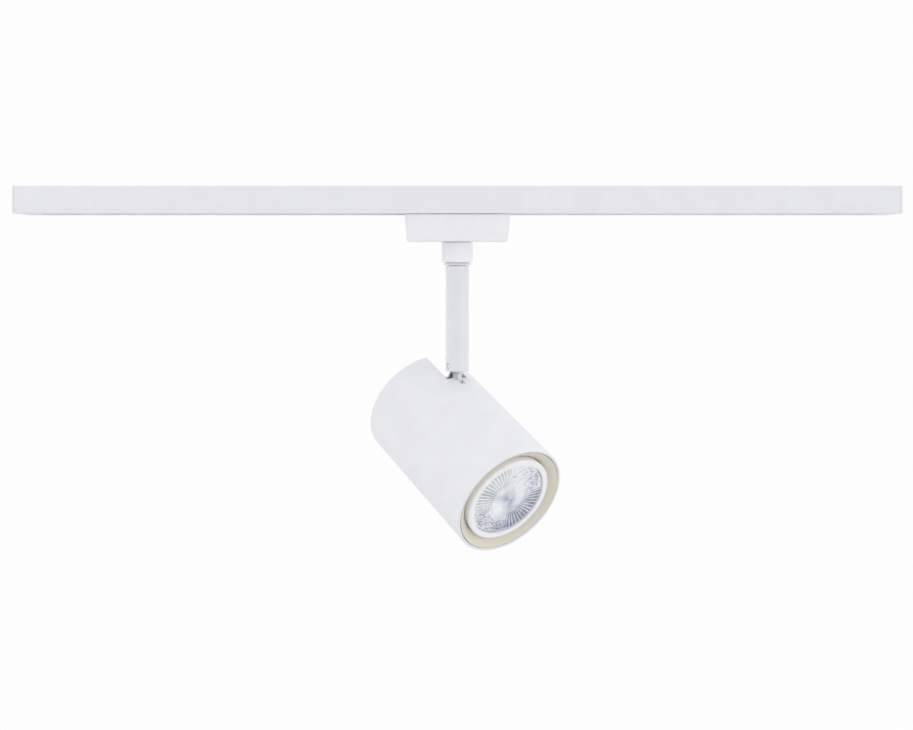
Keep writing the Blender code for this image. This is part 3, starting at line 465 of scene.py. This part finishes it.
def optic(name, tones):
    """Clear optic over a bright dish, its light and reflections painted into its colour: smooth middle, ribs along
    one diagonal, honeycomb across it.
    """
    made = shader_material(name, IOR=1.58, Coat_Weight=0.5, Coat_Roughness=0.05)
    place = add(made, "ShaderNodeTexCoord").outputs["Object"]
    flat = add(made, "ShaderNodeMapping")
    flat.inputs["Scale"].default_value = (1, 1, 0)
    flat.inputs["Rotation"].default_value = (0, 0, RIB_SECTOR)
    join(made, place, flat.inputs["Vector"])
    flat = flat.outputs["Vector"]
    length = add(made, "ShaderNodeVectorMath", operation="LENGTH")
    join(made, flat, length.inputs["Vector"])
    radius = length.outputs["Value"]
    turn = add(made, "ShaderNodeTexGradient", gradient_type="RADIAL")
    join(made, flat, turn.inputs["Vector"])
    turn = turn.outputs["Fac"]

    # Where each pattern shows: along is 1 in the middle of a ribbed sector and -1 in a honeycomb one
    along = maths(made, "COSINE", maths(made, "MULTIPLY", turn, 2 * math.tau))
    outer = smooth_step(made, radius, LENS_DOME - 1 * MM, LENS_DOME + 5.5 * MM)
    ribbed = maths(made, "MULTIPLY", smooth_step(made, along, -0.35, 0.35), outer)
    combed = maths(made, "SUBTRACT", outer, ribbed)

    # Painted reflections: light and dark ribs, and honeycomb cells with a painted highlight bead in each
    rib = maths(made, "COSINE", maths(made, "MULTIPLY", turn, LENS_RIBS * math.tau))
    rib = maths(made, "MULTIPLY", maths(made, "MULTIPLY", rib, ribbed), 0.3)
    cells = add(made, "ShaderNodeTexVoronoi", feature="F1")
    cells.inputs["Scale"].default_value = 1 / LENS_CELL
    join(made, place, cells.inputs["Vector"])
    tint = add(made, "ShaderNodeSeparateXYZ")
    join(made, cells.outputs["Color"], tint.inputs["Vector"])
    cell = maths(made, "MULTIPLY", maths(made, "SUBTRACT", tint.outputs["X"], 0.55), 0.55)
    bead = maths(made, "MULTIPLY", maths(made, "SUBTRACT", 0.36, cells.outputs["Distance"]), 1.1)
    cell = maths(made, "ADD", cell, bead)
    cell = maths(made, "MULTIPLY", cell, combed)

    # Painted light and shade from the dish behind: patchy light, a darker middle, a lighter rim and painted shade
    # slanting across it
    painted_dish_light = grain(made, 7 * MM, detail=2, roughness=0.5).outputs["Fac"]
    painted_dish_light = maths(made, "MULTIPLY", maths(made, "SUBTRACT", painted_dish_light, 0.5), 1.2)
    wedge = maths(made, "MULTIPLY", along, -0.13)
    spot = maths(made, "MULTIPLY", smooth_step(made, radius, 7.5 * MM, 0.5 * MM), -0.3)
    rim = maths(made, "MULTIPLY", smooth_step(made, radius, 20 * MM, 21.2 * MM), 0.2)
    across = add(made, "ShaderNodeSeparateXYZ")
    join(made, place, across.inputs["Vector"])
    painted_slant_shade = maths(made, "MULTIPLY", across.outputs["X"], -0.016 / MM)
    painted_slant_shade = maths(made, "ADD", painted_slant_shade, maths(made, "MULTIPLY", across.outputs["Y"], -0.008 / MM))
    tone = maths(made, "ADD", 0.72, painted_dish_light)
    for part in (painted_slant_shade, wedge, spot, rim, rib, cell):
        tone = maths(made, "ADD", tone, part)
    ramp = add(made, "ShaderNodeValToRGB")
    ramp.color_ramp.elements[0].position = 0.1
    ramp.color_ramp.elements[0].color = (*tones[0], 1)
    ramp.color_ramp.elements[1].position = 0.95
    ramp.color_ramp.elements[1].color = (*tones[2], 1)
    middle = ramp.color_ramp.elements.new(0.5)
    middle.color = (*tones[1], 1)
    join(made, tone, ramp.inputs["Fac"])
    join(made, ramp.outputs["Color"], principled(made).inputs["Base Color"])
    varied_roughness(made, grain(made, 1.2 * MM), 0.08, 0.2)
    return made


def build_materials():
    """One material for each slot in the record."""
    white = (0.872, 0.877, 0.922)
    steel = (0.62, 0.62, 0.64)
    brass = (0.80, 0.60, 0.28)
    return {
        "rail_paint": painted("rail_paint", white, rough=(0.36, 0.46)),
        "carrier_plastic": moulded("carrier_plastic", (0.80, 0.80, 0.80)),
        "copper": metal("copper_strip", (0.82, 0.44, 0.28), stretch=(0.05, 1, 1)),
        "cap_plastic": moulded("cap_plastic", (0.89, 0.895, 0.935)),
        "adapter_plastic": moulded("adapter_plastic", (0.925, 0.93, 0.965)),
        # Greyer than the adapter's plastic: painted shade for the dark line beneath the collar
        "bush_plastic": moulded("bush_plastic", (0.80, 0.805, 0.85)),
        "steel": metal("zinc_plated_steel", steel),
        "brass": metal("turned_brass", brass),
        "stem_paint": painted("stem_paint", (0.835, 0.845, 0.875),
                              rough=(0.24, 0.32), peel=0.35 * MM),
        "washer_nylon": moulded("washer_nylon", (0.80, 0.78, 0.70)),
        "head_paint": painted("head_paint", white),
        "holder_ceramic": ceramic_glaze("holder_ceramic", (0.85, 0.83, 0.78)),
        # Cream, darker and warmer than the white paint: painted shade and painted warm bounce light inside the
        # head's mouth
        "ring_cream": painted("ring_cream", (0.785, 0.745, 0.64),
                              rough=(0.5, 0.6), peel=0.3 * MM),
        "brown_lead": lead_insulation("brown_lead", (0.25, 0.12, 0.06)),
        "blue_lead": lead_insulation("blue_lead", (0.08, 0.18, 0.55)),
        "earth_lead": earth_insulation("earth_lead", (0.10, 0.42, 0.08), (0.80, 0.72, 0.06)),
        "lamp_plastic": moulded("lamp_plastic", (0.95, 0.95, 0.975), rough=(0.22, 0.3)),
        "lens_clear": optic("lens_clear",
                            ((0.27, 0.29, 0.37), (0.61, 0.65, 0.76), (0.98, 0.99, 1.0))),
        "led_board": painted("led_board", (0.80, 0.80, 0.80)),
        "led_emitter": phosphor("led_emitter", (0.90, 0.75, 0.20)),
        "driver_board": circuit_board("driver_board", (0.05, 0.25, 0.10), (0.10, 0.33, 0.14)),
    }


# ---------------------------------------------------------------- rail

def rail_piece():
    """Channel with soft folds, a fine bead above its lower edge and two fixing holes."""
    low, high = reach("rail_profile", WORLD)
    side = high.y
    wall = 1.4 * MM
    web = 1.6 * MM
    slot = 12 * MM
    bottom = low.z
    lip_top = bottom + wall
    rib_top = -10.7 * MM
    rib_bottom = rib_top - 0.8 * MM
    rib = 1 * MM
    fold = 0.7 * MM
    soft = 0.25 * MM
    crease = 0.1 * MM
    bead_z = bottom + 1.7 * MM
    bead = 0.12 * MM
    half = [
        (0, 0),
        (side, 0, fold),
        (side, bead_z + 3 * bead),
        (side - bead, bead_z + 2 * bead),
        (side - bead, bead_z + bead),
        (side, bead_z),
        (side, bottom, fold),
        (slot, bottom, soft),
        (slot, lip_top, soft),
        (side - wall, lip_top, soft),
        (side - wall, rib_bottom, crease),
        (side - wall - rib, rib_bottom, soft),
        (side - wall - rib, rib_top, soft),
        (side - wall, rib_top, crease),
        (side - wall, -web, soft),
        (0, -web),
    ]
    right = rounded(half, closed=False)
    shape = right[1:-1] + [(-y, z) for y, z in reversed(right[1:-1])]
    middle = Matrix.Translation(((low.x + high.x) / 2, 0, 0))
    length = high.x - low.x + 2 * SEAM_FILL
    made = extruded("rail_profile_fine", [shape], length, middle @ FACING_X)
    hole = 2.3 * MM
    hole_mouth = 2.6 * MM
    chamfer = 0.3 * MM
    beyond = 1 * MM
    bore = [
        (0, beyond), (hole_mouth, beyond), (hole_mouth, 0), (hole, -chamfer),
        (hole, chamfer - web), (hole_mouth, -web), (hole_mouth, -web - beyond), (0, -web - beyond),
    ]
    holes = []
    for sign in (-1, 1):
        spot = Matrix.Translation((sign * HOLE_X, 0, 0))
        holes.append(turned("fixing_hole", bore, spot, 48))
    finished(cut_by(made, holes), "rail_profile")


def end_cap_pieces():
    """Moulded caps with lightly broken edges."""
    for name in ("end_cap_left", "end_cap_right"):
        finished(refined(name, 0.2 * MM), name)


def carrier_pieces():
    """Insulating carriers and the copper strips in them."""
    for name in ("conductor_carrier_front", "conductor_carrier_rear"):
        finished(refined(name, 0.15 * MM, segments=2), name)
    for name in ("conductor_live", "conductor_neutral"):
        finished(refined(name, 0.1 * MM, segments=2), name)


# ---------------------------------------------------------------- adapter

def adapter_housing_piece():
    """Tapered moulded box with full corners, soft edges and thin walls."""
    low, high = reach("adapter_housing", WORLD)
    top = high.z
    bottom = low.z
    half_x = high.x
    half_y = high.y
    corner = 3 * MM
    shape = rounded([(-half_x, -half_y, corner), (half_x, -half_y, corner),
                     (half_x, half_y, corner), (-half_x, half_y, corner)], steps=10)
    middle = Matrix.Translation((0, 0, (top + bottom) / 2))
    edge = 0.7 * MM
    made = extruded("adapter_housing_fine", [shape], top - bottom, middle, edge, 4)
    # The rounded upper edge is lifted clear of the top, where a flat cut takes it off
    for vertex in made.data.vertices:
        if vertex.co.z > 0:
            vertex.co.z += edge
    # The moulding's draft: how long and deep its bottom is, as a share of its top
    taper_x = 54.6 / 57
    taper_y = 28.6 / 30
    for vertex in made.data.vertices:
        down = (top - bottom) / 2 - vertex.co.z
        share = down / (top - bottom)
        vertex.co.x *= 1 + (taper_x - 1) * share
        vertex.co.y *= 1 + (taper_y - 1) * share
    floor = bottom + 1.7 * MM
    swing = 4.5 * MM
    lever_x = -12 * MM
    window_z = -18.5 * MM
    inner_x = 25.8 * MM
    inner_y = 12.8 * MM
    past_x = 31 * MM
    past_y = 17 * MM
    neck = 7.3 * MM
    neck_bore = [(0, floor + MM), (neck, floor + MM), (neck, bottom - MM), (0, bottom - MM)]
    screw_hole = 1.8 * MM
    countersink = 3 * MM
    through = 3 * MM
    screw_bore = [
        (0, through), (screw_hole, through), (screw_hole, 1.4 * MM),
        (countersink, 0.2 * MM), (countersink, -MM), (0, -MM),
    ]
    cuts = [
        block("above", (-past_x, -past_y, top), (past_x, past_y, top + 2 * MM)),
        block("inside", (-inner_x, -inner_y, floor), (inner_x, inner_y, 0)),
        block("lever_window", (-past_x, -swing, window_z), (lever_x + swing, past_y, 0)),
        turned("neck_hole", neck_bore, WORLD),
    ]
    for node in ("adapter_screw_front", "adapter_screw_rear"):
        screw_low, screw_high = reach(node, WORLD)
        screw = (screw_low + screw_high) / 2
        spot = Matrix.Translation((screw.x, screw.y, bottom))
        cuts.append(turned("screw_hole", screw_bore, spot, 48))
    finished(cut_by(made, cuts), "adapter_housing")


def collar_piece():
    """Turned collar with a spigot up into the housing."""
    low, high = reach("neck_collar", WORLD)
    radius = high.x
    bore = 6.6 * MM
    spigot = 7 * MM
    shoulder = -30.3 * MM
    profile = rounded([
        (bore, high.z, 0.2 * MM),
        (spigot, high.z, 0.3 * MM),
        (spigot, shoulder, 0.1 * MM),
        (radius, shoulder, 0.35 * MM),
        (radius, low.z, 0.7 * MM),
        (bore, low.z, 0.3 * MM),
    ], steps=5)
    finished(turned("neck_collar_fine", profile, WORLD, 128), "neck_collar")


def bush_piece():
    """Flanged bearing bush that lines the collar."""
    low, high = reach("neck_bush", WORLD)
    bore = 5.3 * MM
    sleeve = 6.3 * MM
    flange = low.z + 1.1 * MM
    profile = rounded([
        (bore, high.z, 0.2 * MM),
        (sleeve, high.z, 0.2 * MM),
        (sleeve, flange, 0.1 * MM),
        (high.x, flange, 0.15 * MM),
        (high.x, low.z, 0.3 * MM),
        (bore, low.z, 0.2 * MM),
    ], steps=4)
    finished(turned("neck_bush_fine", profile, WORLD, 128), "neck_bush")


def adapter_inner_pieces():
    """Pieces in the adapter, each with its edge radius in millimetres."""
    widths = {
        "adapter_top_block": 0.4, "contact_live": 0.12, "contact_neutral": 0.12, "earth_spring": 0.1,
        "terminal_block": 0.3, "pan_stop_peg": 0.2, "lock_cam": 0.35, "lock_lever": 0.35,
    }
    for node, width in widths.items():
        finished(refined(node, width * MM), node)


# ---------------------------------------------------------------- stem

def stem_pieces():
    """Drawn tube with its cross pin, the foot below it and the pan joint's washers and nut."""
    low, high = reach("stem_tube", STEM)
    bore = 5.3 * MM
    profile = rounded([
        (bore, high.z, 0.2 * MM),
        (high.x, high.z, 0.5 * MM),
        (high.x, low.z, 0.5 * MM),
        (bore, low.z, 0.25 * MM),
    ], steps=5)
    tube = turned("stem_tube_fine", profile, STEM, 160)
    pin_low, pin_high = reach("knuckle_pin", STEM)
    pin_z = (pin_low.z + pin_high.z) / 2
    spot = STEM @ Matrix.Translation((0, 0, pin_z)) @ TURN_Z_TO_Y
    pin = 1.5 * MM
    reach_out = 9 * MM
    pin_bore = [(0, reach_out), (pin, reach_out), (pin, -reach_out), (0, -reach_out)]
    hole = turned("pin_hole", pin_bore, spot, 48)
    finished(cut_by(tube, [hole]), "stem_tube")
    finished(refined("stem_knuckle", 0.3 * MM, STEM), "stem_knuckle")
    finished(refined("knuckle_pin", 0.12 * MM, STEM), "knuckle_pin")
    for node, width in {"pan_stop_washer": 0.12, "pan_nut": 0.4, "pan_spring_washer": 0.15}.items():
        finished(refined(node, width * MM, STEM), node)


# ---------------------------------------------------------------- screws

def cross_recess(size, depth, matrix):
    """Two wedges across each other that narrow inwards along local +Z from the head's face.

    The second is a little less deep, so that their flat ends don't lie in one plane.
    """
    thin = 0.28
    narrowing = 0.45
    wedges = []
    for turn, deep in ((0, depth), (math.pi / 2, depth - 0.03 * MM)):
        shape = bmesh.new()
        half = Matrix.Diagonal((size, size * thin, deep, 1))
        made = bmesh.ops.create_cube(shape, size=2, matrix=half)
        for vertex in made["verts"]:
            if vertex.co.z > 0:
                vertex.co.x *= narrowing
                vertex.co.y *= narrowing
        mesh = bpy.data.meshes.new("recess_wedge")
        shape.to_mesh(mesh)
        shape.free()
        wedges.append(new_piece("recess_wedge", mesh, matrix @ Matrix.Rotation(turn, 4, "Z")))
    return wedges


def screw_piece(node, matrix, sunk=False):
    """Threaded screw with a cross recess, its head at the low end of local Z."""
    low, high = reach(node, matrix)
    head = (high.x - low.x) / 2
    centre = matrix @ Matrix.Translation(((low.x + high.x) / 2, (low.y + high.y) / 2, low.z))
    length = high.z - low.z
    shank = 1.5 * MM
    pitch = 0.5 * MM
    root = 1.22 * MM
    head_height = 1.4 * MM if sunk else 1.7 * MM
    profile = [(0, length), (root - 0.4 * MM, length), (root, length - 0.4 * MM)]
    turns = int((length - head_height - 1.2 * MM) / pitch)
    for i in range(turns):
        z = length - 0.5 * MM - i * pitch
        profile += [(root, z), (shank, z - 0.2 * pitch),
                    (shank, z - 0.35 * pitch), (root, z - 0.6 * pitch)]
    last = length - 0.5 * MM - turns * pitch
    if sunk:
        profile += [(root, last), (shank, head_height), (head, 0.25 * MM), (head, 0.1 * MM)]
        profile += [(head - 0.15 * MM, 0), (0, 0)]
    else:
        profile += [(root, last), (shank, head_height + 0.3 * MM), (shank, head_height)]
        profile += rounded([(head - 0.2 * MM, head_height), (head, head_height, 0.2 * MM),
                            (head, 0, 0.9 * MM), (head - 1 * MM, 0)], steps=4, closed=False)
        profile += [(0, 0)]
    made = turned(f"{node}_fine", profile, centre, 40)
    finished(cut_by(made, cross_recess(head * 0.6, 0.7 * MM, centre)), node)


def screw_pieces():
    """All the screws, each with its head at the low end of the frame it is made in."""
    along_head = HEAD @ TURN_Z_TO_X
    for node in ("cover_screw_left", "cover_screw_right", "holder_screw_lower",
                 "holder_screw_upper", "earth_screw"):
        screw_piece(node, along_head)
    screw_piece("pivot_screw", HEAD @ TURN_Z_TO_Y)
    for node in ("adapter_screw_front", "adapter_screw_rear"):
        screw_piece(node, WORLD, sunk=True)
    screw_piece("lever_screw", WORLD)


# ---------------------------------------------------------------- head

def head_shell_piece():
    """Smooth tube with rounded rims, the stem's notch and the slit beyond it."""
    high = reach("head_shell", HEAD)[1]
    radius = high.y
    length = high.x
    wall = 1.5 * MM
    rim = 0.55 * MM
    profile = rounded([
        (radius - wall, length, rim),
        (radius, length, rim),
        (radius, 0, 0.45 * MM),
        (radius - wall, 0, 0.45 * MM),
    ], steps=6)
    shell = turned("head_shell_fine", profile, HEAD @ TURN_Z_TO_X, 288)
    # Half-widths of the notch and the slit, where each ends along the tube, and their corners
    notch = 6.8 * MM
    notch_end = 22.4 * MM
    notch_corner = 0.8 * MM
    slit = 1.6 * MM
    slit_end = 28.4 * MM
    slit_corner = 0.5 * MM
    step_corner = 0.3 * MM
    behind = -2 * MM
    shape = rounded([
        (behind, -notch),
        (notch_end, -notch, notch_corner),
        (notch_end, -slit, step_corner),
        (slit_end, -slit, slit_corner),
        (slit_end, slit, slit_corner),
        (notch_end, slit, step_corner),
        (notch_end, notch, notch_corner),
        (behind, notch),
    ], steps=8)
    cutter = extruded("notch", [shape], 16 * MM, HEAD @ Matrix.Translation((0, 0, 28 * MM)))
    finished(cut_by(shell, [cutter]), "head_shell")


def front_ring_piece():
    """Funnel from the tube's mouth down to the lamp's rim, and the sleeve that seats in the tube."""
    low, high = reach("front_ring", HEAD)
    outer = high.y
    front = high.x
    throat = LAMP_RADIUS + 0.25 * MM
    sleeve = 1.4 * MM
    lip = 0.12 * MM
    funnel_end = front - 6.3 * MM
    profile = rounded([
        (throat, front - 4.9 * MM, 0.5 * MM),
        (outer - 0.3 * MM, front, lip),
        (outer, front, lip),
        (outer, low.x, 0.3 * MM),
        (outer - sleeve, low.x, 0.2 * MM),
        (outer - sleeve, front - 3.5 * MM, 0.4 * MM),
        (throat + 0.85 * MM, funnel_end, 0.1 * MM),
        (throat, funnel_end, 0.1 * MM),
    ], steps=5)
    finished(turned("front_ring_fine", profile, HEAD @ TURN_Z_TO_X, 256), "front_ring")


def head_inner_pieces():
    """Pieces in the head, each with its edge radius in millimetres."""
    widths = {
        "back_cover": 0.25, "lamp_bracket": 0.25, "hinge_bracket": 0.25, "lamp_holder": 0.4,
        "holder_contact_live": 0.1, "holder_contact_neutral": 0.1, "pivot_nut": 0.3,
        "friction_washer_left": 0.12, "friction_washer_right": 0.12,
    }
    for node, width in widths.items():
        finished(refined(node, width * MM, HEAD, angle=30), node)


# ---------------------------------------------------------------- lamp

def lamp_body_piece():
    """Smooth reflector-lamp body with a rolled front rim."""
    front = reach("lamp_body", HEAD)[1].x
    opening = LENS_EDGE + 0.15 * MM
    seat = reach("lamp_lens", HEAD)[0].x - 0.3 * MM
    neck = 14.2 * MM
    neck_end = 48 * MM
    wall = 1.2 * MM
    profile = rounded([
        (opening, front, 0.45 * MM),
        (LAMP_RADIUS, front, 1.0 * MM),
        (LAMP_RADIUS, 84 * MM, 1.2 * MM),
        (24.2 * MM, 81 * MM, 1.2 * MM),
        (21.5 * MM, 72 * MM, 6 * MM),
        (15.5 * MM, 53 * MM, 4 * MM),
        (neck, neck_end, 0.3 * MM),
        (neck - wall, neck_end, 0.3 * MM),
        (14.2 * MM, 53.5 * MM, 3 * MM),
        (20.2 * MM, 72.5 * MM, 5 * MM),
        (20.6 * MM, seat - 0.4 * MM, 0.2 * MM),
        (opening, seat, 0.15 * MM),
    ], steps=6)
    finished(turned("lamp_body_fine", profile, HEAD @ TURN_Z_TO_X, 192), "lamp_body")


def lens_height(radius):
    """Front surface of the lens, from its back face: a slight crown."""
    return 3.75 * MM - 0.9 * MM * (radius / LENS_EDGE) ** 2


def in_rib_sector(angle):
    """Whether a direction on the lens lies in one of the two ribbed sectors."""
    return math.cos(2 * (angle + RIB_SECTOR)) > 0


def facet(shape, centre):
    """Closed honeycomb bump: a hexagon with a tip in front and a tip behind."""
    base = LENS_CELL * 0.56
    height = 0.3 * MM
    depth = 0.2 * MM
    level = lens_height(centre.length)
    points = []
    for i in range(6):
        angle = math.pi / 6 + math.tau * i / 6
        points.append(shape.verts.new((centre.x + base * math.cos(angle),
                                       centre.y + base * math.sin(angle), level)))
    front = shape.verts.new((centre.x, centre.y, level + height))
    behind = shape.verts.new((centre.x, centre.y, level - depth))
    for i in range(6):
        here = points[i]
        following = points[(i + 1) % 6]
        shape.faces.new((here, following, front))
        shape.faces.new((following, here, behind))


def rib(shape, angle, half_angle, inner, outer):
    """Closed three-sided ridge that runs outwards along a radius."""
    sink = 0.1 * MM
    height = 0.35 * MM
    ends = []
    for radius in (inner, outer):
        level = lens_height(radius)
        along = Vector((math.cos(angle), math.sin(angle))) * radius
        left = Vector((math.cos(angle - half_angle), math.sin(angle - half_angle))) * radius
        right = Vector((math.cos(angle + half_angle), math.sin(angle + half_angle))) * radius
        ends.append([shape.verts.new((*left, level - sink)),
                     shape.verts.new((*right, level - sink)),
                     shape.verts.new((*along, level + height))])
    near, far = ends
    shape.faces.new(near[::-1])
    shape.faces.new(far)
    for i in range(3):
        following = (i + 1) % 3
        shape.faces.new((near[i], near[following], far[following], far[i]))


def lens_piece():
    """Crowned lens: smooth dome, ribs in two opposite sectors, small facets in the other two."""
    back = reach("lamp_lens", HEAD)[0].x
    lift = 0.12 * MM
    bevel = 0.4 * MM
    steps = 10
    profile = [(0, lens_height(0) + lift)]
    for i in range(1, steps + 1):
        radius = LENS_DOME * i / steps
        profile.append((radius, lens_height(radius) + lift * math.cos(math.pi / 2 * i / steps)))
    for i in range(1, steps + 1):
        radius = LENS_DOME + (LENS_EDGE - bevel - LENS_DOME) * i / steps
        profile.append((radius, lens_height(radius)))
    profile += [(LENS_EDGE, lens_height(LENS_EDGE) - bevel), (LENS_EDGE, 0), (0, 0)]
    place = HEAD @ Matrix.Translation((back, 0, 0)) @ TURN_Z_TO_X
    body = baked(turned("lamp_lens_fine", profile, place, 160))

    shape = bmesh.new()
    shape.from_mesh(body.data)
    facets_start = LENS_DOME + 0.8 * LENS_CELL
    facets_end = LENS_EDGE - 0.7 * MM
    rows = int(facets_end / LENS_CELL) + 2
    for row in range(-rows, rows + 1):
        for column in range(-rows, rows + 1):
            centre = Vector((column + 0.5 * (row % 2), row * math.sqrt(3) / 2)) * LENS_CELL
            inside = facets_start < centre.length < facets_end - 0.5 * LENS_CELL
            if inside and not in_rib_sector(math.atan2(centre.y, centre.x)):
                facet(shape, centre)
    half_rib = math.tau / LENS_RIBS * 0.46
    for i in range(LENS_RIBS):
        angle = math.tau * i / LENS_RIBS
        if in_rib_sector(angle):
            rib(shape, angle, half_rib, LENS_DOME + 1 * MM, facets_end)
    shape.to_mesh(body.data)
    shape.free()
    for face in body.data.polygons:
        face.use_smooth = len(face.vertices) > 3
    finished(body, "lamp_lens")


def lamp_inner_pieces():
    """Pieces in the lamp, each with its edge radius in millimetres."""
    widths = {
        "lamp_base": 0.4, "lamp_pin_live": 0.2, "lamp_pin_neutral": 0.2,
        "led_board": 0.2, "led_emitter": 0.2, "driver_board": 0.15,
    }
    for node, width in widths.items():
        finished(refined(node, width * MM, HEAD, angle=30), node)


# ---------------------------------------------------------------- light, floor and camera

def studio():
    """White room that is darker on its front side, -Y, with a pale floor far below."""
    scene = bpy.context.scene
    scene.view_settings.view_transform = "Standard"
    world = bpy.data.worlds.new("white_room")
    world.use_nodes = True
    scene.world = world
    tree = world.node_tree
    back = tree.nodes["Background"]
    back.inputs["Color"].default_value = (1, 1, 1, 1)
    way = tree.nodes.new("ShaderNodeTexCoord")
    split = tree.nodes.new("ShaderNodeSeparateXYZ")
    shade = tree.nodes.new("ShaderNodeMapRange")
    shade.inputs["From Min"].default_value = -1
    shade.inputs["From Max"].default_value = -0.25
    shade.inputs["To Min"].default_value = 0.56
    shade.inputs["To Max"].default_value = 0.985
    tree.links.new(way.outputs["Generated"], split.inputs["Vector"])
    tree.links.new(split.outputs["Y"], shade.inputs["Value"])
    tree.links.new(shade.outputs["Result"], back.inputs["Strength"])

    floor_mesh = bpy.data.meshes.new("floor")
    shape = bmesh.new()
    bmesh.ops.create_circle(shape, cap_ends=True, segments=96, radius=FLOOR_RADIUS)
    shape.to_mesh(floor_mesh)
    shape.free()
    floor = new_piece("floor", floor_mesh, Matrix.Translation((0, 0, FLOOR_Z)))
    floor_paint = painted("floor_paint", (0.8, 0.8, 0.8), rough=(0.8, 0.9), peel=3 * MM)
    floor_mesh.materials.append(floor_paint)


def soft_light(name, place, size, power):
    """Round area light that faces the spotlight."""
    data = bpy.data.lights.new(name, "AREA")
    data.shape = "DISK"
    data.size = size
    data.energy = power
    lamp = bpy.data.objects.new(name, data)
    bpy.context.scene.collection.objects.link(lamp)
    lamp.location = place
    lamp.rotation_euler = (LIT_POINT - Vector(place)).to_track_quat("-Z", "Y").to_euler()


def lights():
    """Key from above left, fill from the right and a weak light from below."""
    soft_light("key", (-0.9, -1.1, 0.5), size=1.0, power=3.1)
    soft_light("fill", (1.1, -0.7, 0.1), size=1.0, power=1.8)
    soft_light("low", (0.6, -0.7, -1.1), size=1.2, power=1.05)


def camera():
    """Level camera straight in front of the stem, a little below the rail.

    The shift frames the rail above the picture's middle without tilting the view.
    """
    data = bpy.data.cameras.new("camera")
    data.lens = 57.56
    data.sensor_width = 36
    data.shift_y = -0.115
    made = bpy.data.objects.new("camera", data)
    bpy.context.scene.collection.objects.link(made)
    made.location = CAMERA_PLACE
    made.rotation_euler = (math.pi / 2, 0, 0)
    bpy.context.scene.camera = made


MATERIALS = build_materials()
camera()
studio()
lights()
rail_piece()
end_cap_pieces()
carrier_pieces()
adapter_housing_piece()
adapter_inner_pieces()
collar_piece()
bush_piece()
stem_pieces()
screw_pieces()
head_shell_piece()
front_ring_piece()
head_inner_pieces()
lamp_body_piece()
lens_piece()
lamp_inner_pieces()
for node, cad in NODES.items():
    cad.data.materials.clear()
    cad.data.materials.append(MATERIALS[SLOT_OF[node]])
